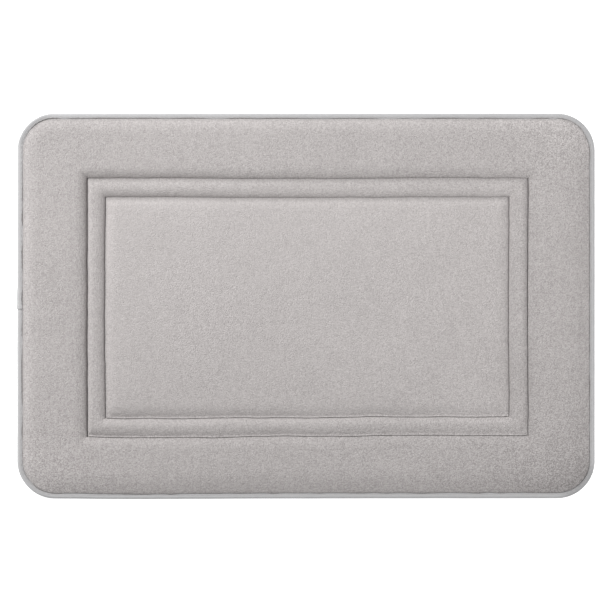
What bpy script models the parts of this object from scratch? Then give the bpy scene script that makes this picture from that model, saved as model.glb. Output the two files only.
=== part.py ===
"""Bath mat: a velour face quilted through a memory-foam pad to a non-slip backing, bound with tape.

The mat lies flat, long side along X, with its underside on Z = 0 and its middle over the origin.
Every layer is a loft of nested rings. The rings run parallel to the rounded outline at the edge
and parallel to the square-cornered channels further in.
"""
import math

import bpy

# Overall size
LENGTH = 0.610
WIDTH = 0.407
CORNER_RADIUS = 0.040

# Quilted pattern: two nested sewn channels with a narrow strip between them
BORDER_AT_ENDS = 0.0725
BORDER_AT_SIDES = 0.0675
STRIP_WIDTH = 0.020
PATTERN_CENTRE = (0.0015, -0.0016)
CHANNEL_CORNER = 0.0010
CREASE_HALF_WIDTH = 0.0009
SHOULDER_REACH = 0.0110
STRIP_DROP = 0.0014

# Layers
GRIP_HEIGHT = 0.0012
BACKING_THICKNESS = 0.0007
FOAM_THICKNESS = 0.0100
FOAM_PINCHED = 0.0020
FACE_THICKNESS = 0.0030
FACE_PINCHED = 0.0015
FACE_ON_WALLS = 0.0018

# Edge binding, a tape folded round the pinched edge
TAPE_THICKNESS = 0.0007
TAPE_ON_TOP = 0.0052
TAPE_UNDERNEATH = 0.0062
FOLD_DEPTH = 0.0032
SEAM_INSET = 0.0042

# Sewing thread
THREAD_RADIUS = 0.0002
FLOOR_CLEARANCE = 0.0001

# Grip field, clear of the tape and of the seams on the underside
GRIP_FIELD_INSET = 0.0110
SEAM_LANE_HALF = 0.0030
GRIP_SLOPE = 0.0005

# Fit between neighbouring pieces
GAP = 0.0003

# Fineness of the curved stretches
CORNER_STEPS = 6
SHOULDER_STEPS = 4
FOLD_STEPS = 6
THREAD_CORNER_STEPS = 3

# Heights that follow from the layers, away from the edge
BACKING_LOW = GRIP_HEIGHT
BACKING_TOP = BACKING_LOW + BACKING_THICKNESS
FOAM_LOW = BACKING_TOP + GAP
FOAM_TOP = FOAM_LOW + FOAM_THICKNESS
FOAM_CREASE = FOAM_LOW + FOAM_PINCHED
FACE_LOW = FOAM_TOP + GAP
FACE_TOP = FACE_LOW + FACE_THICKNESS
FACE_LOW_CREASE = FOAM_CREASE + GAP
FACE_CREASE = FACE_LOW_CREASE + FACE_PINCHED

# Heights at the bound edge: thread, tape, backing, foam, face, tape, thread
TAPE_LOW = FLOOR_CLEARANCE + 2 * THREAD_RADIUS + GAP
EDGE_BACKING_LOW = TAPE_LOW + TAPE_THICKNESS + GAP
EDGE_LIFT = EDGE_BACKING_LOW - BACKING_LOW
TAPE_TOP = FACE_CREASE + EDGE_LIFT + GAP + TAPE_THICKNESS

# How far in from the outline the layers end: the foam fills the fold, the others stop where it begins
FOAM_INSET = TAPE_THICKNESS + 3 * GAP
CLOTH_INSET = FOLD_DEPTH

# Half sizes of the channels' centre lines
OUTER_CHANNEL = (LENGTH / 2 - BORDER_AT_ENDS, WIDTH / 2 - BORDER_AT_SIDES)
INNER_CHANNEL = (OUTER_CHANNEL[0] - STRIP_WIDTH, OUTER_CHANNEL[1] - STRIP_WIDTH)

LAYER_COLOURS = {
    "velour": ((0.55, 0.53, 0.52), 0.95),
    "foam": ((0.82, 0.80, 0.70), 0.90),
    "backing": ((0.42, 0.42, 0.43), 0.70),
    "tape": ((0.50, 0.50, 0.51), 0.80),
    "thread": ((0.46, 0.45, 0.45), 0.65),
}


def clear_scene():
    for item in list(bpy.data.objects):
        bpy.data.objects.remove(item, do_unlink=True)


def make_collection(name):
    collection = bpy.data.collections.new(name)
    bpy.context.scene.collection.children.link(collection)
    return collection


def make_material(name):
    colour, roughness = LAYER_COLOURS[name]
    material = bpy.data.materials.new(name)
    material.use_nodes = True
    shader = material.node_tree.nodes["Principled BSDF"]
    shader.inputs["Base Color"].default_value = (*colour, 1.0)
    shader.inputs["Roughness"].default_value = roughness
    shader.inputs["Metallic"].default_value = 0.0
    return material


def rounded_rectangle(half_x, half_y, radius, centre, z, steps=CORNER_STEPS):
    """Points of a rounded rectangle, anticlockwise from its right side's lower corner."""
    points = []
    for turn, (side_x, side_y) in enumerate(((1, -1), (1, 1), (-1, 1), (-1, -1))):
        for step in range(steps + 1):
            angle = math.radians(90 * (turn - 1 + step / steps))
            x = centre[0] + side_x * (half_x - radius) + radius * math.cos(angle)
            y = centre[1] + side_y * (half_y - radius) + radius * math.sin(angle)
            points.append((x, y, z))
    return points


def edge_ring(inset, z):
    """A ring parallel to the mat's outline, this far in from it."""
    radius = CORNER_RADIUS - inset
    return rounded_rectangle(LENGTH / 2 - inset, WIDTH / 2 - inset, radius, (0.0, 0.0), z)


def channel_ring(channel, offset, z):
    """A ring parallel to a channel's centre line, this far outside it."""
    return rounded_rectangle(channel[0] + offset, channel[1] + offset, CHANNEL_CORNER, PATTERN_CENTRE, z)


def shoulder(start, reach, low, high, steps=SHOULDER_STEPS):
    """Distances and heights of a quarter-round rise from the foot of a crease to its crown."""
    profile = []
    for step in range(steps + 1):
        angle = math.radians(90 * step / steps)
        profile.append((start + reach * (1 - math.cos(angle)), low + (high - low) * math.sin(angle)))
    return profile


def quilted_rings(edge_inset, setback, crease, crown):
    """Rings of a quilted surface from the bound edge to the middle field.

    The setback moves each crease wall away from its seam, by what lies over this surface there.
    """
    foot = CREASE_HALF_WIDTH + setback
    strip_reach = STRIP_WIDTH / 2 - foot
    edge_foot = TAPE_ON_TOP + GAP + setback
    edge_rise = shoulder(edge_foot, SHOULDER_REACH, crease + EDGE_LIFT, crown)
    field_rise = shoulder(foot, SHOULDER_REACH, crease, crown)
    strip_rise = shoulder(foot, strip_reach, crease, crown - STRIP_DROP)

    rings = [edge_ring(edge_inset, crease + EDGE_LIFT)]
    rings += [edge_ring(inset, z) for inset, z in edge_rise]
    rings += [channel_ring(OUTER_CHANNEL, offset, z) for offset, z in reversed(field_rise)]
    rings += [channel_ring(OUTER_CHANNEL, -offset, z) for offset, z in strip_rise]
    rings += [channel_ring(INNER_CHANNEL, offset, z) for offset, z in reversed(strip_rise[:-1])]
    rings += [channel_ring(INNER_CHANNEL, -offset, z) for offset, z in field_rise]
    return rings


def ring_quads(count, ring_count):
    """Index quads that join each ring of count points to the next one."""
    quads = []
    for ring in range(ring_count - 1):
        for i in range(count):
            j = (i + 1) % count
            here = ring * count
            there = here + count
            quads.append((here + i, there + i, there + j, here + j))
    return quads


def add_mesh(name, points, faces, material, collection):
    mesh = bpy.data.meshes.new(name)
    mesh.from_pydata(points, [], faces)
    mesh.materials.append(material)
    mesh.validate()
    piece = bpy.data.objects.new(name, mesh)
    collection.objects.link(piece)
    return piece


def add_layer(name, rings, material, collection):
    """A closed layer: its rings run from the top's middle, over the edge, to the underside's middle."""
    count = len(rings[0])
    points = [point for ring in rings for point in ring]
    faces = ring_quads(count, len(rings))
    faces.append(tuple(range(count)))
    faces.append(tuple(reversed(range(len(points) - count, len(points)))))
    return add_mesh(name, points, faces, material, collection)


def lifted_rings(edge_inset, height):
    """Rings of a flat surface that the edge binding lifts a little all round."""
    return [
        edge_ring(edge_inset, height + EDGE_LIFT),
        edge_ring(TAPE_UNDERNEATH + GAP, height + EDGE_LIFT),
        edge_ring(GRIP_FIELD_INSET, height),
    ]


def build_pile_face(collection, material):
    top = quilted_rings(CLOTH_INSET, 0.0, FACE_CREASE, FACE_TOP)
    underside = quilted_rings(CLOTH_INSET, FACE_ON_WALLS, FACE_LOW_CREASE, FACE_LOW)
    return add_layer("pile_face", top[::-1] + underside, material, collection)


def build_memory_foam(collection, material):
    top = quilted_rings(FOAM_INSET, FACE_ON_WALLS + GAP, FOAM_CREASE, FOAM_TOP)
    underside = lifted_rings(FOAM_INSET, FOAM_LOW)
    return add_layer("memory_foam", top[::-1] + underside, material, collection)


def build_non_slip_backing(collection, material):
    """The backing sheet, with the three fields that its grip dots fill between the seams."""
    top = lifted_rings(CLOTH_INSET, BACKING_TOP)
    underside = lifted_rings(CLOTH_INSET, BACKING_LOW)
    underside.append(edge_ring(GRIP_FIELD_INSET + GRIP_SLOPE, 0.0))
    for channel in (OUTER_CHANNEL, INNER_CHANNEL):
        underside.append(channel_ring(channel, SEAM_LANE_HALF + GRIP_SLOPE, 0.0))
        underside.append(channel_ring(channel, SEAM_LANE_HALF, BACKING_LOW))
        underside.append(channel_ring(channel, -SEAM_LANE_HALF, BACKING_LOW))
        underside.append(channel_ring(channel, -SEAM_LANE_HALF - GRIP_SLOPE, 0.0))
    return add_layer("non_slip_backing", top[::-1] + underside, material, collection)


def build_edge_binding(collection, material):
    """Tape folded round the edge: a flat leg underneath, a round fold, a flat leg on top."""
    half = TAPE_THICKNESS / 2
    low = TAPE_LOW + half
    high = TAPE_TOP - half
    middle = (low + high) / 2
    rings = [edge_ring(TAPE_UNDERNEATH, low)]
    for step in range(FOLD_STEPS + 1):
        angle = math.radians(180 * step / FOLD_STEPS)
        inset = FOLD_DEPTH - (FOLD_DEPTH - half) * math.sin(angle)
        rings.append(edge_ring(inset, middle - (high - middle) * math.cos(angle)))
    rings.append(edge_ring(TAPE_ON_TOP, high))
    points = [point for ring in rings for point in ring]
    faces = [tuple(reversed(quad)) for quad in ring_quads(len(rings[0]), len(rings))]
    piece = add_mesh("edge_binding", points, faces, material, collection)
    shell = piece.modifiers.new("tape thickness", "SOLIDIFY")
    shell.thickness = TAPE_THICKNESS
    shell.offset = 0.0
    return piece


def add_thread(name, outline, material, collection):
    """One sewing thread as a closed loop of round section."""
    curve = bpy.data.curves.new(name, "CURVE")
    curve.dimensions = "3D"
    curve.bevel_depth = THREAD_RADIUS
    curve.bevel_resolution = 2
    spline = curve.splines.new("POLY")
    spline.points.add(len(outline) - 1)
    for point, place in zip(spline.points, outline):
        point.co = (*place, 1.0)
    spline.use_cyclic_u = True
    curve.materials.append(material)
    piece = bpy.data.objects.new(name, curve)
    collection.objects.link(piece)
    return piece


def build_binding_threads(collection, material):
    """The lockstitch that holds the tape: needle thread on top, bobbin thread underneath."""
    needle_z = TAPE_TOP + GAP + THREAD_RADIUS
    bobbin_z = TAPE_LOW - GAP - THREAD_RADIUS
    add_thread("binding_needle_thread", edge_ring(SEAM_INSET, needle_z), material, collection)
    add_thread("binding_bobbin_thread", edge_ring(SEAM_INSET, bobbin_z), material, collection)


def build_channel_threads(name, channel, collection, material):
    """The lockstitch of one channel: needle thread in the crease, bobbin thread on the backing."""
    needle_z = FACE_CREASE + GAP + THREAD_RADIUS
    bobbin_z = BACKING_LOW - GAP - THREAD_RADIUS
    for side, z in (("needle", needle_z), ("bobbin", bobbin_z)):
        outline = rounded_rectangle(*channel, CHANNEL_CORNER, PATTERN_CENTRE, z, THREAD_CORNER_STEPS)
        add_thread(f"{name}_channel_{side}_thread", outline, material, collection)


def build_bath_mat():
    clear_scene()
    collection = make_collection("bath_mat")
    materials = {name: make_material(name) for name in LAYER_COLOURS}
    build_pile_face(collection, materials["velour"])
    build_memory_foam(collection, materials["foam"])
    build_non_slip_backing(collection, materials["backing"])
    build_edge_binding(collection, materials["tape"])
    build_binding_threads(collection, materials["thread"])
    build_channel_threads("outer", OUTER_CHANNEL, collection, materials["thread"])
    build_channel_threads("inner", INNER_CHANNEL, collection, materials["thread"])


build_bath_mat()
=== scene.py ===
"""The finished bath mat: a short velour face quilted over memory foam, backed, gripped and bound with tape.

Lengths are metres. Seams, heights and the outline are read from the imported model, and the finished
pieces are laid on them.
"""
import math
from collections import namedtuple

import bpy
import numpy as np
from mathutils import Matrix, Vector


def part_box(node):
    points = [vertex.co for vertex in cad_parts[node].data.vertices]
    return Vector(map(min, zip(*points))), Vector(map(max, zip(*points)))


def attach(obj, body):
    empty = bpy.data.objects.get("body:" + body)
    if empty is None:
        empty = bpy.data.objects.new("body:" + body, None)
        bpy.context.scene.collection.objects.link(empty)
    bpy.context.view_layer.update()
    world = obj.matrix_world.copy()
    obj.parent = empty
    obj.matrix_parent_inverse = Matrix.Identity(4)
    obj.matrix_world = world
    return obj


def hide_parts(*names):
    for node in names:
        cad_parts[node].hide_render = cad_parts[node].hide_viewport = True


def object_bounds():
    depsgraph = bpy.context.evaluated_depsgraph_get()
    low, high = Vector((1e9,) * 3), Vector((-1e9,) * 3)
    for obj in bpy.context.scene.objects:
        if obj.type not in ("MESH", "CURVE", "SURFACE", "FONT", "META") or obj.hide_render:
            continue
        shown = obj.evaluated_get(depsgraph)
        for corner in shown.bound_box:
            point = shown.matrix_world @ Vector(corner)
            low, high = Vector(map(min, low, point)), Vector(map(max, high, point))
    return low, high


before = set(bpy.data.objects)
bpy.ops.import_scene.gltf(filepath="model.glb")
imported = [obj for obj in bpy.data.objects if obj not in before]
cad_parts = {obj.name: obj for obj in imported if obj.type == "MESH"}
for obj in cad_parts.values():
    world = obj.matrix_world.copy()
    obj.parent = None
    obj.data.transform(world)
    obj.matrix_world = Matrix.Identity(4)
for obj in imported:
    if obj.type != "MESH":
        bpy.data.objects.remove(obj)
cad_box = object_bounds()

# The mat's make-up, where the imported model's boxes don't give it
CORNER_RADIUS = 0.040
CLOTH_GAP = 0.0003
TAPE_THICKNESS = 0.0007
TAPE_WIDTH = 0.018
TAPE_ON_TOP = 0.0055
TAPE_UNDERNEATH = 0.0062
TAPE_LAP = 0.014
TAPE_START_Y = 0.011
FOLD_DEPTH = 0.0032
FOLD_SQUARENESS = 0.75
FACE_THICKNESS = 0.0030
FACE_ON_WALLS = 0.0018
FACE_PINCHED = 0.0015
FOAM_INSET = 0.0016
EDGE_LIFT = 0.0006

# Softness of the quilting: the level where the pile's lips close over a seam, and how it swells from there
LIP_LEVEL = 0.0094
LIP_LEVEL_TO_RIGHT = 0.0016
LIP_LEVEL_TO_BACK = -0.0008
EDGE_LIP_LEVEL = 0.0079
LIP_RISE = 0.0018
LIP_ROUND = 0.0016
EDGE_REACH = 0.0165
FULLNESS = 2.5
STRIP_FULLNESS = 2.2
EDGE_WALL = TAPE_ON_TOP + 0.0005
FLATTENED_EDGE = 0.75
EASED_EDGE = 0.7
EDGE_BULGE = 0.0007
FACING_BLEND = 0.55
LOFT_ROOM = 0.0010

# The hollow under the lips, where the stitches lie, and the bead of cloth that shows along the front runs
HOLLOW_HALF = 0.00050
HOLLOW_SIDE = 0.0010
HOLLOW_TOP = 0.0018
BEAD_RISE = 0.0001

# How far the lips are shut over a seam, from 0 to 1: mostly, how much it varies, in what length, and at most
SHUT = 0.32
SHUT_VARIES = 0.50
SHUT_LENGTH = 0.009
SHUT_MOST = 0.85

# The drift of hand-guided sewing, and the frayed edge of the pile. Lumps are given as (height, size, seed)
WANDER = 0.00045
WANDER_IN_FROM_EDGE = 0.03
WANDER_AT_EDGE = 0.2
WANDER_ACROSS = ((1.8, 0.110, 3), (0.6, 0.016, 4))
WANDER_ALONG = ((3.0, 0.170, 5), (0.9, 0.024, 6))
WANDER_LOOSER_IN_FRONT = 0.75
FRAY = 0.00020
FRAY_SIZE = 0.0028
LEFT_RUN_PULL = 0.0006
LEFT_RUN_MORE_IN_MIDDLE = 0.0010
LEFT_RUN_WIDTH = 0.011

# Unevenness of the pile's top: its nap, and the soft swelling of the filling
NAP = ((0.00010, 0.0030, 21), (0.00008, 0.0045, 22, 1.4))
SWELL = ((0.00030, 0.050, 23), (0.00015, 0.018, 24))

# The cover's cloth simulation
COVER_STEP = 0.0062
COVER_PRESSURE = 1.5
COVER_STRETCH_STIFFNESS = 15
COVER_BEND_STIFFNESS = 0.5
COVER_FRAMES = 20
LOFT_CAP = 0.0020

# Spacing of the points
PILE_STEP = 0.0022
UNDER_STEP = 0.0060
CORNER_STEP = 0.0005
LIP_STEP = 0.00005
RIM = 0.0032
FOAM_STEP = 0.0040
FOAM_FINE_STEP = 0.0006
BACKING_STEP = 0.0060
BACKING_FINE_STEP = 0.0020
UNDER_FINE_STEP = 0.0022
STEP_GROWTH = 1.6

# Sewing
CHANNEL_STITCH = 0.0045
BINDING_STITCH = 0.0055
POINTS_PER_STITCH = 8
THREAD_SIDES = 8
THREAD_TWIST = 0.0016
THREAD_WAIST = 0.14
THREAD_DIVE = 0.0007
THREAD_BOW = 0.45
CHANNEL_THREAD_FULLNESS = 1.25
BINDING_THREAD_FULLNESS = 1.15
BINDING_THREAD_SUNK = 0.00035
BINDING_THREAD_OVER_LAP = 0.0006

# The tape's lap joint, its hem, the dimples of its stitches and its wavy edge
LAP_STARTS = 0.010
LAP_SLOPE = 0.009
LAP_CLOSER = 0.00010
PRESSED = 0.00025
PRESSED_PAST_LAP = 0.006
PRESSED_SLOPE = 0.008
HEM_RISE = 0.0006
HEM_WIDTH = 0.005
HEM_SLOPE = 0.002
DIMPLE = 0.00010
DIMPLE_AT_HOLES = 0.00016
DIMPLE_HALF = 0.0007
TAPE_WAVE = 0.00050
TAPE_WAVE_LENGTH = 0.012
# Painted shade of the tape's gathers at its corners: how much darker, and how much more at two of them
GATHER_SHADE = 0.06
GATHER_SHADE_TIGHTER = 0.14

# Grip dots
GRIP_PITCH = 0.012
GRIP_RADIUS = 0.0023
GRIP_SIDES = 10
SEAM_LANE_HALF = 0.0036
GRIP_FIELD_INSET = 0.0125

Seam = namedtuple("Seam", "x y half_x half_y z radius")
Sides = namedtuple("Sides", "left right front back")
Crease = namedtuple("Crease", "seam gape inner_lip outer_lip")

# Half the gap between the lips on each side, and the width of the bead beside it
OUTER_GAPE = Sides(0.00044, 0.00020, 0.00012, 0.00004)
INNER_GAPE = Sides(0.00010, 0.00010, 0.00014, 0.00004)
LEDGE = Sides(0.0001, 0.0001, 0.0014, 0.0001)

# How far the pillows on each side take to reach their crown: the wide ones, and the strip's from either seam
WIDE_REACH = Sides(0.0135, 0.0135, 0.0135, 0.0135)
STRIP_FROM_OUTER = Sides(0.0050, 0.0070, 0.0115, 0.0080)
STRIP_FROM_INNER = Sides(0.0125, 0.0100, 0.0080, 0.0110)

# How far each side's lips are filled in, inside a seam's rectangle and beyond it
FILLED_WITHIN = Sides(0.0, 0.1, 1.2, 0.65)
FILLED_BEYOND = Sides(0.0, 0.1, 0.6, 0.6)

# How far the round of each side's lips reaches, inside a seam's rectangle and beyond it
ROUND_WITHIN = Sides(0.0018, 0.0036, 0.0020, 0.0020)
ROUND_BEYOND = Sides(0.0024, 0.0022, 0.0030, 0.0034)

# Painted shade beside the seams, where the lips shade the pile: how much darker, and how far that reaches:
# within a seam's rectangle at its left and back, and beyond it at its right and front
SEAM_SHADE_OUTER = Sides(0.0, 0.12, 0.08, 0.30)
SEAM_SHADE_INNER = Sides(0.22, 0.19, 0.08, 0.36)
SEAM_SHADE_REACH = Sides(0.0030, 0.0125, 0.0040, 0.0055)

# Painted shade beside the tape, along the gap at the mat's left and back: how much, how far in from the wall,
# and its half width
EDGE_SHADE = 0.28
EDGE_SHADE_INSET = 0.0010
EDGE_SHADE_HALF = 0.0012

# The pile's tone, where 1 leaves the pile as dyed: the middle field, the border round it, and two corners
# each that are darker and lighter. Both field and border are painted lighter toward the back, as painted
# light
NAP_TONE = 1.03
FIELD_TONE, FIELD_TO_RIGHT, FIELD_LIT_TO_BACK = 0.010, 0.025, 0.09
BORDER_TONE, BORDER_LIT_TO_BACK = -0.070, 0.050
BORDER_TONE_AT_SEAM, BORDER_TONE_REACH = 0.1, 0.022
CORNER_POWER = 4
DARKER_CORNERS, LIGHTER_CORNERS = 0.28, 0.14
STRIP_TONE = 0.02
MOTTLE = ((0.012, 0.040, 41), (0.008, 0.017, 42))

# How lively the nap's grain is, in the field and in the border, and how much more toward the front right, as
# painted shade of the pile's clumps where the light grazes
FIELD_GRAIN, FIELD_GRAIN_GRAZED = 0.95, 0.22
BORDER_GRAIN, BORDER_GRAIN_GRAZED = 1.25, 0.12
CORNER_GRAIN = 2.4

# Fibre grain and foam cells, in waves a metre
STREAK_SCALE = (420.0, 40.0, 90.0)
PATCH_SCALE = 16.0
FOAM_CELL_SCALE = 900.0

# The finishes' shades from dark to light, each with its place between 0 and 1
VELOUR_SHADES = ((0.10, (0.290, 0.271, 0.267)), (0.50, (0.392, 0.369, 0.364)), (0.90, (0.488, 0.462, 0.456)))
TAPE_SHADES = ((0.20, (0.354, 0.353, 0.357)), (0.70, (0.412, 0.410, 0.415)))
THREAD_SHADES = ((0.30, (0.400, 0.385, 0.380)), (0.70, (0.520, 0.500, 0.495)))
FOAM_SHADES = ((0.25, (0.720, 0.690, 0.560)), (0.75, (0.860, 0.830, 0.720)))
BACKING_SHADES = ((0.20, (0.330, 0.330, 0.335)), (0.75, (0.460, 0.460, 0.465)))
GRIP_SHADES = ((0.25, (0.420, 0.420, 0.425)), (0.75, (0.520, 0.520, 0.525)))
WHITE = (1.0, 1.0, 1.0, 1.0)
PALE_FLOOR = (0.93, 0.93, 0.93, 1.0)

# The studio
KEY_LIGHT = {"place": (-1.38, 1.22, 1.26), "size": 1.1, "power": 58.0}
CARD_LIGHT = {"place": (0.95, -0.10, 0.50), "size": 0.7, "power": 3.0}
SKY_STRENGTH = 0.63
FLOOR_REACH = 6.0
FLOOR_GLOW = 0.6
LENS = 200.0
SENSOR_WIDTH = 36.0
CAMERA_HEIGHT = 3.596


def seam_of(thread_node):
    """The rectangle that a sewing thread's centre line follows, with its height and its own radius."""
    low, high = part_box(thread_node)
    middle = (low + high) / 2
    radius = (high.z - low.z) / 2
    return Seam(
        middle.x, middle.y, (high.x - low.x) / 2 - radius, (high.y - low.y) / 2 - radius, middle.z, radius
    )


def outline_of(node):
    """The rectangle round a whole piece."""
    low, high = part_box(node)
    middle = (low + high) / 2
    return Seam(middle.x, middle.y, (high.x - low.x) / 2, (high.y - low.y) / 2, middle.z, 0.0)


OUTLINE = outline_of("edge_binding")
BINDING = seam_of("binding_needle_thread")
BINDING_UNDER = seam_of("binding_bobbin_thread")
OUTER = seam_of("outer_channel_needle_thread")
OUTER_UNDER = seam_of("outer_channel_bobbin_thread")
INNER = seam_of("inner_channel_needle_thread")
INNER_UNDER = seam_of("inner_channel_bobbin_thread")

BINDING_INSET = OUTLINE.half_x - BINDING.half_x
STRIP = OUTER.half_x - INNER.half_x
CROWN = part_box("pile_face")[1].z
CREASE = OUTER.z - OUTER.radius - CLOTH_GAP
TAPE_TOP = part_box("edge_binding")[1].z
TAPE_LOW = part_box("edge_binding")[0].z
BACKING_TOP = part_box("non_slip_backing")[1].z
FOAM_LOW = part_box("memory_foam")[0].z
GRIP_TOP = OUTER_UNDER.z + OUTER_UNDER.radius + CLOTH_GAP


# ---------------------------------------------------------------- unevenness

def lumps(x, y, size, seed, stretch=1.0):
    """Smooth unevenness from -1 to 1 with lumps of this size, longer along Y by the stretch."""
    across, middle = 512, 128.0
    lattice = np.random.default_rng(seed).uniform(-1, 1, (across, across))
    u = np.asarray(x) / size + middle
    v = np.asarray(y) / (size * stretch) + middle
    i, j = np.floor(u).astype(int), np.floor(v).astype(int)
    fu, fv = u - i, v - j
    fu, fv = fu * fu * (3 - 2 * fu), fv * fv * (3 - 2 * fv)
    i_next, j_next = (i + 1) % across, (j + 1) % across
    i, j = i % across, j % across
    near = lattice[i, j] * (1 - fu) + lattice[i_next, j] * fu
    far = lattice[i, j_next] * (1 - fu) + lattice[i_next, j_next] * fu
    return near * (1 - fv) + far * fv


def uneven(x, y, layers):
    """Lumps of several sizes added up, each given as (height, size, seed), some with a stretch after."""
    return sum(height * lumps(x, y, *form) for height, *form in layers)


def smooth_step(value):
    """0 to 1 with a soft start and end."""
    t = np.clip(value, 0, 1)
    return t * t * (3 - 2 * t)


def left_run_pull(x, y):
    """How far to the left the inner channel's left run was sewn, most at its middle."""
    from_run = (x - INNER.x + INNER.half_x) / LEFT_RUN_WIDTH
    along = np.clip(np.abs(y - INNER.y) / INNER.half_y, 0, 1)
    return (LEFT_RUN_PULL + LEFT_RUN_MORE_IN_MIDDLE * (1 - along * along)) * np.exp(-from_run * from_run)


def wander(points):
    """The slight drift of hand-guided sewing and soft foam, in the mat's plane, looser toward the front."""
    x, y = points[:, 0].copy(), points[:, 1].copy()
    inside = np.clip(-outside(OUTLINE, x, y, CORNER_RADIUS) / WANDER_IN_FROM_EDGE, 0, 1)
    amount = WANDER * (WANDER_AT_EDGE + (1 - WANDER_AT_EDGE) * inside)
    looser = 1.25 - WANDER_LOOSER_IN_FRONT * (y - OUTLINE.y) / OUTLINE.half_y
    points[:, 0] += amount * uneven(x, y, WANDER_ACROSS)
    points[:, 1] += amount * looser * uneven(x, y, WANDER_ALONG)
    points[:, 0] -= left_run_pull(x, y)
    points[:, 0] += FRAY * inside * lumps(x, y, FRAY_SIZE, seed=7)
    points[:, 1] += FRAY * inside * lumps(x, y, FRAY_SIZE, seed=8)
    return points


# ---------------------------------------------------------------- quilted form

def grown(seam, out):
    """A seam's rectangle with each side moved outwards by its own amount."""
    return seam._replace(
        x=seam.x + (out.right - out.left) / 2,
        y=seam.y + (out.back - out.front) / 2,
        half_x=seam.half_x + (out.left + out.right) / 2,
        half_y=seam.half_y + (out.front + out.back) / 2,
    )


def crease_of(seam, gape):
    """A sewn crease: its seam, and the two rectangles where the pile's lips stand."""
    inward = Sides(*(-gap - ledge for gap, ledge in zip(gape, LEDGE)))
    return Crease(seam, gape, grown(seam, inward), grown(seam, gape))


OUTER_CREASE = crease_of(OUTER, OUTER_GAPE)
INNER_CREASE = crease_of(INNER, INNER_GAPE)


def outside(seam, x, y, corner=0.0):
    """Distance outside a seam's rectangle, negative inside it."""
    dx = np.abs(x - seam.x) - seam.half_x + corner
    dy = np.abs(y - seam.y) - seam.half_y + corner
    return np.hypot(np.maximum(dx, 0), np.maximum(dy, 0)) + np.minimum(np.maximum(dx, dy), 0) - corner


def beside(seam, x, y):
    """1 beside a seam's rectangle and 0 before or behind it, turning over at its corners."""
    dx = np.maximum(np.abs(x - seam.x) - seam.half_x, 0)
    dy = np.maximum(np.abs(y - seam.y) - seam.half_y, 0)
    return dx / np.maximum(dx + dy, 1e-9)


def by_side(sides, seam, x, y):
    """The values of the nearer side across X and of the nearer side across Y."""
    return (
        np.where(x < seam.x, sides.left, sides.right),
        np.where(y < seam.y, sides.front, sides.back),
    )


def faces_front_right(x, y):
    """0 to 1 round the border: 1 where its edge looks to the front or the right."""
    dx = np.sign(x - OUTLINE.x) * np.maximum(np.abs(x - OUTLINE.x) - OUTLINE.half_x + CORNER_RADIUS, 0)
    dy = np.sign(y - OUTLINE.y) * np.maximum(np.abs(y - OUTLINE.y) - OUTLINE.half_y + CORNER_RADIUS, 0)
    return smooth_step(0.5 + FACING_BLEND * (dx - dy) / np.maximum(np.hypot(dx, dy), 1e-9))


def edge_reach(x, y):
    """How far from the tape the border takes to reach its crown: farther at the front and the right."""
    return EDGE_REACH * (1 + EASED_EDGE * faces_front_right(x, y))


def lip(distance, reach):
    """0 at the wall of a crease and 1 past the round of the pile's lip."""
    t = 1 - np.clip(distance / reach, 0, 1)
    return np.sqrt(1 - t * t)


def pillow(distance, reach, fullness):
    """0 at a lip and 1 on the crown, in the curve that stuffed cloth takes."""
    return 1 - (1 - np.clip(distance / reach, 0, 1)) ** fullness


def filled(share, amount):
    """A lip's rise with this much of its round filled in."""
    return 1 - (1 - share) * (1 - amount)


def rises(x, y, setback):
    """How far a layer has risen round its lips and up its pillows, each from 0 to 1."""
    edge = -outside(OUTLINE, x, y, CORNER_RADIUS) - EDGE_WALL - setback
    lips, pillows = lip(edge, LIP_ROUND), pillow(edge, edge_reach(x, y), FULLNESS)
    outer_reach = (WIDE_REACH, FULLNESS), (STRIP_FROM_OUTER, STRIP_FULLNESS)
    inner_reach = (STRIP_FROM_INNER, STRIP_FULLNESS), (WIDE_REACH, FULLNESS)
    for crease, (beyond, within) in ((OUTER_CREASE, outer_reach), (INNER_CREASE, inner_reach)):
        past = outside(crease.outer_lip, x, y) - setback
        across = crease.inner_lip.half_x - np.abs(x - crease.inner_lip.x) - setback
        along = crease.inner_lip.half_y - np.abs(y - crease.inner_lip.y) - setback
        out = outside(crease.seam, x, y) > 0
        share = beside(crease.outer_lip, x, y)
        fill_x, fill_y = by_side(FILLED_WITHIN, crease.seam, x, y)
        round_x, round_y = by_side(ROUND_WITHIN, crease.seam, x, y)
        lips_within = filled(lip(across, round_x), fill_x) * filled(lip(along, round_y), fill_y)
        fill_x, fill_y = by_side(FILLED_BEYOND, crease.seam, x, y)
        round_x, round_y = by_side(ROUND_BEYOND, crease.seam, x, y)
        round_here = round_x * share + round_y * (1 - share)
        lips_beyond = filled(lip(past, round_here), fill_x * share + fill_y * (1 - share))
        lips = lips * np.where(out, lips_beyond, lips_within)
        (reaches, fullness), (reaches_out, fullness_out) = within, beyond
        reach_x, reach_y = by_side(reaches, crease.seam, x, y)
        swell_within = pillow(across, reach_x, fullness) * pillow(along, reach_y, fullness)
        reach_x, reach_y = by_side(reaches_out, crease.seam, x, y)
        swell_beyond = pillow(past, reach_x * share + reach_y * (1 - share), fullness_out)
        pillows = pillows * np.where(out, swell_beyond, swell_within)
    return lips, pillows


def lip_level(x, y):
    """Height of the lips over a seam, drawn deeper toward the left."""
    toward_right, toward_back = (x - OUTLINE.x) / OUTLINE.half_x, (y - OUTLINE.y) / OUTLINE.half_y
    return LIP_LEVEL + LIP_LEVEL_TO_RIGHT * toward_right + LIP_LEVEL_TO_BACK * toward_back


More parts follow.
